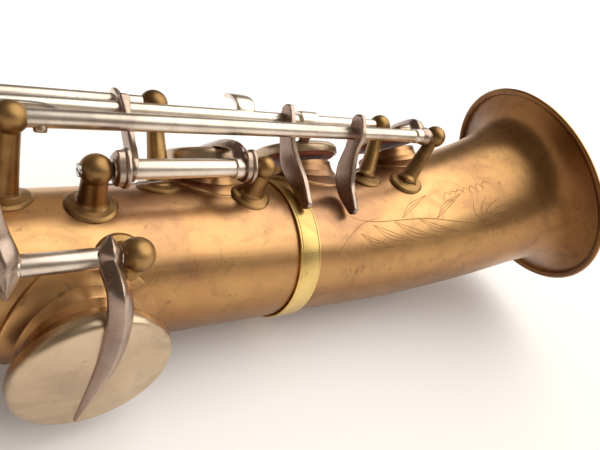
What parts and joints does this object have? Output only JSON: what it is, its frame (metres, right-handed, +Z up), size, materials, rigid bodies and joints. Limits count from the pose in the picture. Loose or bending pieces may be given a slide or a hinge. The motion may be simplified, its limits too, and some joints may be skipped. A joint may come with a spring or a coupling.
{
  "type": "soprano saxophone",
  "caption": "Small conical brass woodwind with a tipped bell, padded nickel-silver keys on hinge rods between posts, and a mouthpiece with a reed on a cork.",
  "frame": {"origin": "centre of the base of the whole instrument's bounding box, on the table it lies on", "axes": "+X along the bore from the mouthpiece to the bell, +Z up, with the instrument lying on its back"},
  "size_m": [0.6902, 0.0856, 0.0887],
  "materials": {
    "body_brass": "bare worn copper-brown brass",
    "ring_brass": "yellow brass, worn satin",
    "key_nickel": "polished nickel silver with light tarnish",
    "rod_steel": "dull steel",
    "pad_leather": "dark red-brown kid leather over felt",
    "cork": "natural cork",
    "ebonite": "black hard rubber, satin",
    "cane": "dry cane"
  },
  "bodies": {
    "horn": {"body_tube": "body_brass", "bell": "body_brass", "bell_ring": "ring_brass", "cork": "cork", "thumb_hook": "body_brass", "thumb_rest": "key_nickel", "strap_ring": "body_brass", "low_bb_rod": "rod_steel", "low_b_rod": "rod_steel", "low_cs_lever_rod": "rod_steel", "low_cs_rod": "rod_steel", "low_c_rod": "rod_steel", "right_stack_rod": "rod_steel", "left_stack_rod": "rod_steel"},
    "low_bb_key": {"low_bb_key": "key_nickel", "low_bb_pad": "pad_leather"},
    "low_b_key": {"low_b_key": "key_nickel", "low_b_pad": "pad_leather"},
    "low_cs_key": {"low_cs_key": "key_nickel", "low_cs_pad": "pad_leather"},
    "low_c_key": {"low_c_key": "key_nickel", "low_c_pad": "pad_leather"},
    "low_eb_key": {"low_eb_key": "key_nickel", "low_eb_pad": "pad_leather"},
    "d_key": {"d_key": "key_nickel", "d_pad": "pad_leather"},
    "e_key": {"e_key": "key_nickel", "e_pad": "pad_leather"},
    "f_key": {"f_key": "key_nickel", "f_pad": "pad_leather"},
    "fs_key": {"fs_key": "key_nickel", "fs_pad": "pad_leather"},
    "gs_key": {"gs_key": "key_nickel", "gs_pad": "pad_leather"},
    "g_key": {"g_key": "key_nickel", "g_pad": "pad_leather"},
    "a_key": {"a_key": "key_nickel", "a_pad": "pad_leather"},
    "b_key": {"b_key": "key_nickel", "b_pad": "pad_leather"},
    "c_key": {"c_key": "key_nickel", "c_pad": "pad_leather"},
    "side_bb_key": {"side_bb_key": "key_nickel", "side_bb_pad": "pad_leather"},
    "side_c_key": {"side_c_key": "key_nickel", "side_c_pad": "pad_leather"},
    "palm_d_key": {"palm_d_key": "key_nickel", "palm_d_pad": "pad_leather"},
    "palm_eb_key": {"palm_eb_key": "key_nickel", "palm_eb_pad": "pad_leather"},
    "low_cs_lever": {"low_cs_lever": "key_nickel"},
    "octave_key_lower": {"octave_key_lower": "key_nickel"},
    "octave_key_upper": {"octave_key_upper": "key_nickel"},
    "mouthpiece": {"mouthpiece": "ebonite", "ligature": "key_nickel", "reed": "cane"},
    "ligature_screw_front": {"ligature_screw_front": "key_nickel"},
    "ligature_screw_back": {"ligature_screw_back": "key_nickel"}
  },
  "joints": [
    {"name": "low_bb_key_hinge", "type": "hinge", "parent": "horn", "child": "low_bb_key", "pos_m": [0.26558, 0.00746, 0.0675], "axis": [0.9989, -0.0228, 0.0412], "range_deg": [-5.86, 0], "stiffness_Nm_per_rad": 0.03, "springref_deg": 20.05},
    {"name": "low_b_key_hinge", "type": "hinge", "parent": "horn", "child": "low_b_key", "pos_m": [0.22482, 0.02046, 0.06311], "axis": [0.9989, -0.0228, 0.0412], "range_deg": [-7.99, 0], "stiffness_Nm_per_rad": 0.03, "springref_deg": 20.05},
    {"name": "low_cs_key_hinge", "type": "hinge", "parent": "horn", "child": "low_cs_key", "pos_m": [0.18587, 0.00438, 0.05556], "axis": [0.9996, 0.0083, 0.0273], "range_deg": [0, 7.05], "stiffness_Nm_per_rad": 0.03, "springref_deg": -20.05},
    {"name": "low_c_key_hinge", "type": "hinge", "parent": "horn", "child": "low_c_key", "pos_m": [0.14797, -0.01373, 0.04583], "axis": [0.9996, -0.0199, 0.0191], "range_deg": [0, 6.58], "stiffness_Nm_per_rad": 0.03, "springref_deg": -20.05},
    {"name": "low_eb_key_hinge", "type": "hinge", "parent": "horn", "child": "low_eb_key", "pos_m": [0.11187, -0.01301, 0.04514], "axis": [0.9996, -0.0199, 0.0191], "range_deg": [0, 8.38], "stiffness_Nm_per_rad": 0.03, "springref_deg": -20.05},
    {"name": "d_key_hinge", "type": "hinge", "parent": "horn", "child": "d_key", "pos_m": [0.07887, -0.01477, 0.03882], "axis": [0.9995, -0.0265, 0.016], "range_deg": [-7.89, 0], "stiffness_Nm_per_rad": 0.015, "springref_deg": 20.05},
    {"name": "e_key_hinge", "type": "hinge", "parent": "horn", "child": "e_key", "pos_m": [0.04687, -0.01392, 0.03831], "axis": [0.9995, -0.0265, 0.016], "range_deg": [-8.2, 0], "stiffness_Nm_per_rad": 0.015, "springref_deg": 20.05},
    {"name": "f_key_hinge", "type": "hinge", "parent": "horn", "child": "f_key", "pos_m": [0.01687, -0.01313, 0.03784], "axis": [0.9995, -0.0265, 0.016], "range_deg": [-8.16, 0], "stiffness_Nm_per_rad": 0.015, "springref_deg": 20.05},
    {"name": "fs_key_hinge", "type": "hinge", "parent": "horn", "child": "fs_key", "pos_m": [-0.01013, -0.01241, 0.03741], "axis": [0.9995, -0.0265, 0.016], "range_deg": [-8.09, 0], "stiffness_Nm_per_rad": 0.015, "springref_deg": 20.05},
    {"name": "gs_key_hinge", "type": "hinge", "parent": "horn", "child": "gs_key", "pos_m": [-0.04013, 0.0198, 0.04355], "axis": [0.9995, 0.0179, 0.0265], "range_deg": [-9.89, 0], "stiffness_Nm_per_rad": 0.015, "springref_deg": 20.05},
    {"name": "g_key_hinge", "type": "hinge", "parent": "horn", "child": "g_key", "pos_m": [-0.06613, -0.01043, 0.03622], "axis": [0.9993, -0.0316, 0.019], "range_deg": [-8.16, 0], "stiffness_Nm_per_rad": 0.015, "springref_deg": 20.05},
    {"name": "a_key_hinge", "type": "hinge", "parent": "horn", "child": "a_key", "pos_m": [-0.10613, -0.00916, 0.03546], "axis": [0.9993, -0.0316, 0.019], "range_deg": [-7.9, 0], "stiffness_Nm_per_rad": 0.015, "springref_deg": 20.05},
    {"name": "b_key_hinge", "type": "hinge", "parent": "horn", "child": "b_key", "pos_m": [-0.12813, -0.00847, 0.03504], "axis": [0.9993, -0.0316, 0.019], "range_deg": [-7.79, 0], "stiffness_Nm_per_rad": 0.015, "springref_deg": 20.05},
    {"name": "c_key_hinge", "type": "hinge", "parent": "horn", "child": "c_key", "pos_m": [-0.14713, -0.00787, 0.03468], "axis": [0.9993, -0.0316, 0.019], "range_deg": [-7.61, 0], "stiffness_Nm_per_rad": 0.015, "springref_deg": 20.05},
    {"name": "side_bb_key_hinge", "type": "hinge", "parent": "horn", "child": "side_bb_key", "pos_m": [-0.08013, -0.01027, 0.01709], "axis": [0.9993, -0.0332, -0.0155], "range_deg": [0, 10.91], "stiffness_Nm_per_rad": 0.015, "springref_deg": -20.05},
    {"name": "side_c_key_hinge", "type": "hinge", "parent": "horn", "child": "side_c_key", "pos_m": [-0.11713, -0.00532, 0.01206], "axis": [0.9994, -0.0248, -0.0257], "range_deg": [0, 7.9], "stiffness_Nm_per_rad": 0.015, "springref_deg": -20.05},
    {"name": "palm_d_key_hinge", "type": "hinge", "parent": "horn", "child": "palm_d_key", "pos_m": [-0.16813, 0.0181, 0.03796], "axis": [0.9995, 0.02, 0.0238], "range_deg": [-9.38, 0], "stiffness_Nm_per_rad": 0.015, "springref_deg": 20.05},
    {"name": "palm_eb_key_hinge", "type": "hinge", "parent": "horn", "child": "palm_eb_key", "pos_m": [-0.18913, 0.01768, 0.03746], "axis": [0.9995, 0.02, 0.0238], "range_deg": [-9.77, 0], "stiffness_Nm_per_rad": 0.015, "springref_deg": 20.05},
    {"name": "low_cs_lever_hinge", "type": "hinge", "parent": "horn", "child": "low_cs_lever", "pos_m": [0.07287, 0.0312, 0.05566], "axis": [0.9989, -0.0228, 0.0412], "range_deg": [-23.51, 0], "stiffness_Nm_per_rad": 0.02, "springref_deg": 20.05},
    {"name": "octave_key_lower_hinge", "type": "hinge", "parent": "horn", "child": "octave_key_lower", "pos_m": [-0.16313, 0.00809, 0.01046], "axis": [0, -0.9994, -0.0349], "range_deg": [0, 6], "stiffness_Nm_per_rad": 0.015, "springref_deg": -20.05},
    {"name": "octave_key_upper_hinge", "type": "hinge", "parent": "horn", "child": "octave_key_upper", "pos_m": [-0.19513, 0.01691, 0.01503], "axis": [0, -0.7431, -0.6691], "range_deg": [0, 4], "stiffness_Nm_per_rad": 0.015, "springref_deg": -20.05},
    {"name": "mouthpiece_tuning_slide", "type": "slide", "parent": "horn", "child": "mouthpiece", "axis": [-1, 0, 0], "range_m": [-0.004, 0.008]},
    {"name": "ligature_screw_front_turn", "type": "hinge", "parent": "mouthpiece", "child": "ligature_screw_front", "pos_m": [-0.30013, 0.0121, 0.01058], "axis": [0, 0.9563, 0.2924], "continuous": true},
    {"name": "ligature_screw_back_turn", "type": "hinge", "parent": "mouthpiece", "child": "ligature_screw_back", "pos_m": [-0.30813, 0.0121, 0.01058], "axis": [0, 0.9563, 0.2924], "continuous": true}
  ],
  "couplings": [
    {"joint": "low_cs_key_hinge", "follows": "low_cs_lever_hinge", "ratio": -0.3},
    {"joint": "fs_key_hinge", "follows": "f_key_hinge", "ratio": 0.99086},
    {"joint": "c_key_hinge", "follows": "b_key_hinge", "ratio": 0.97782}
  ]
}
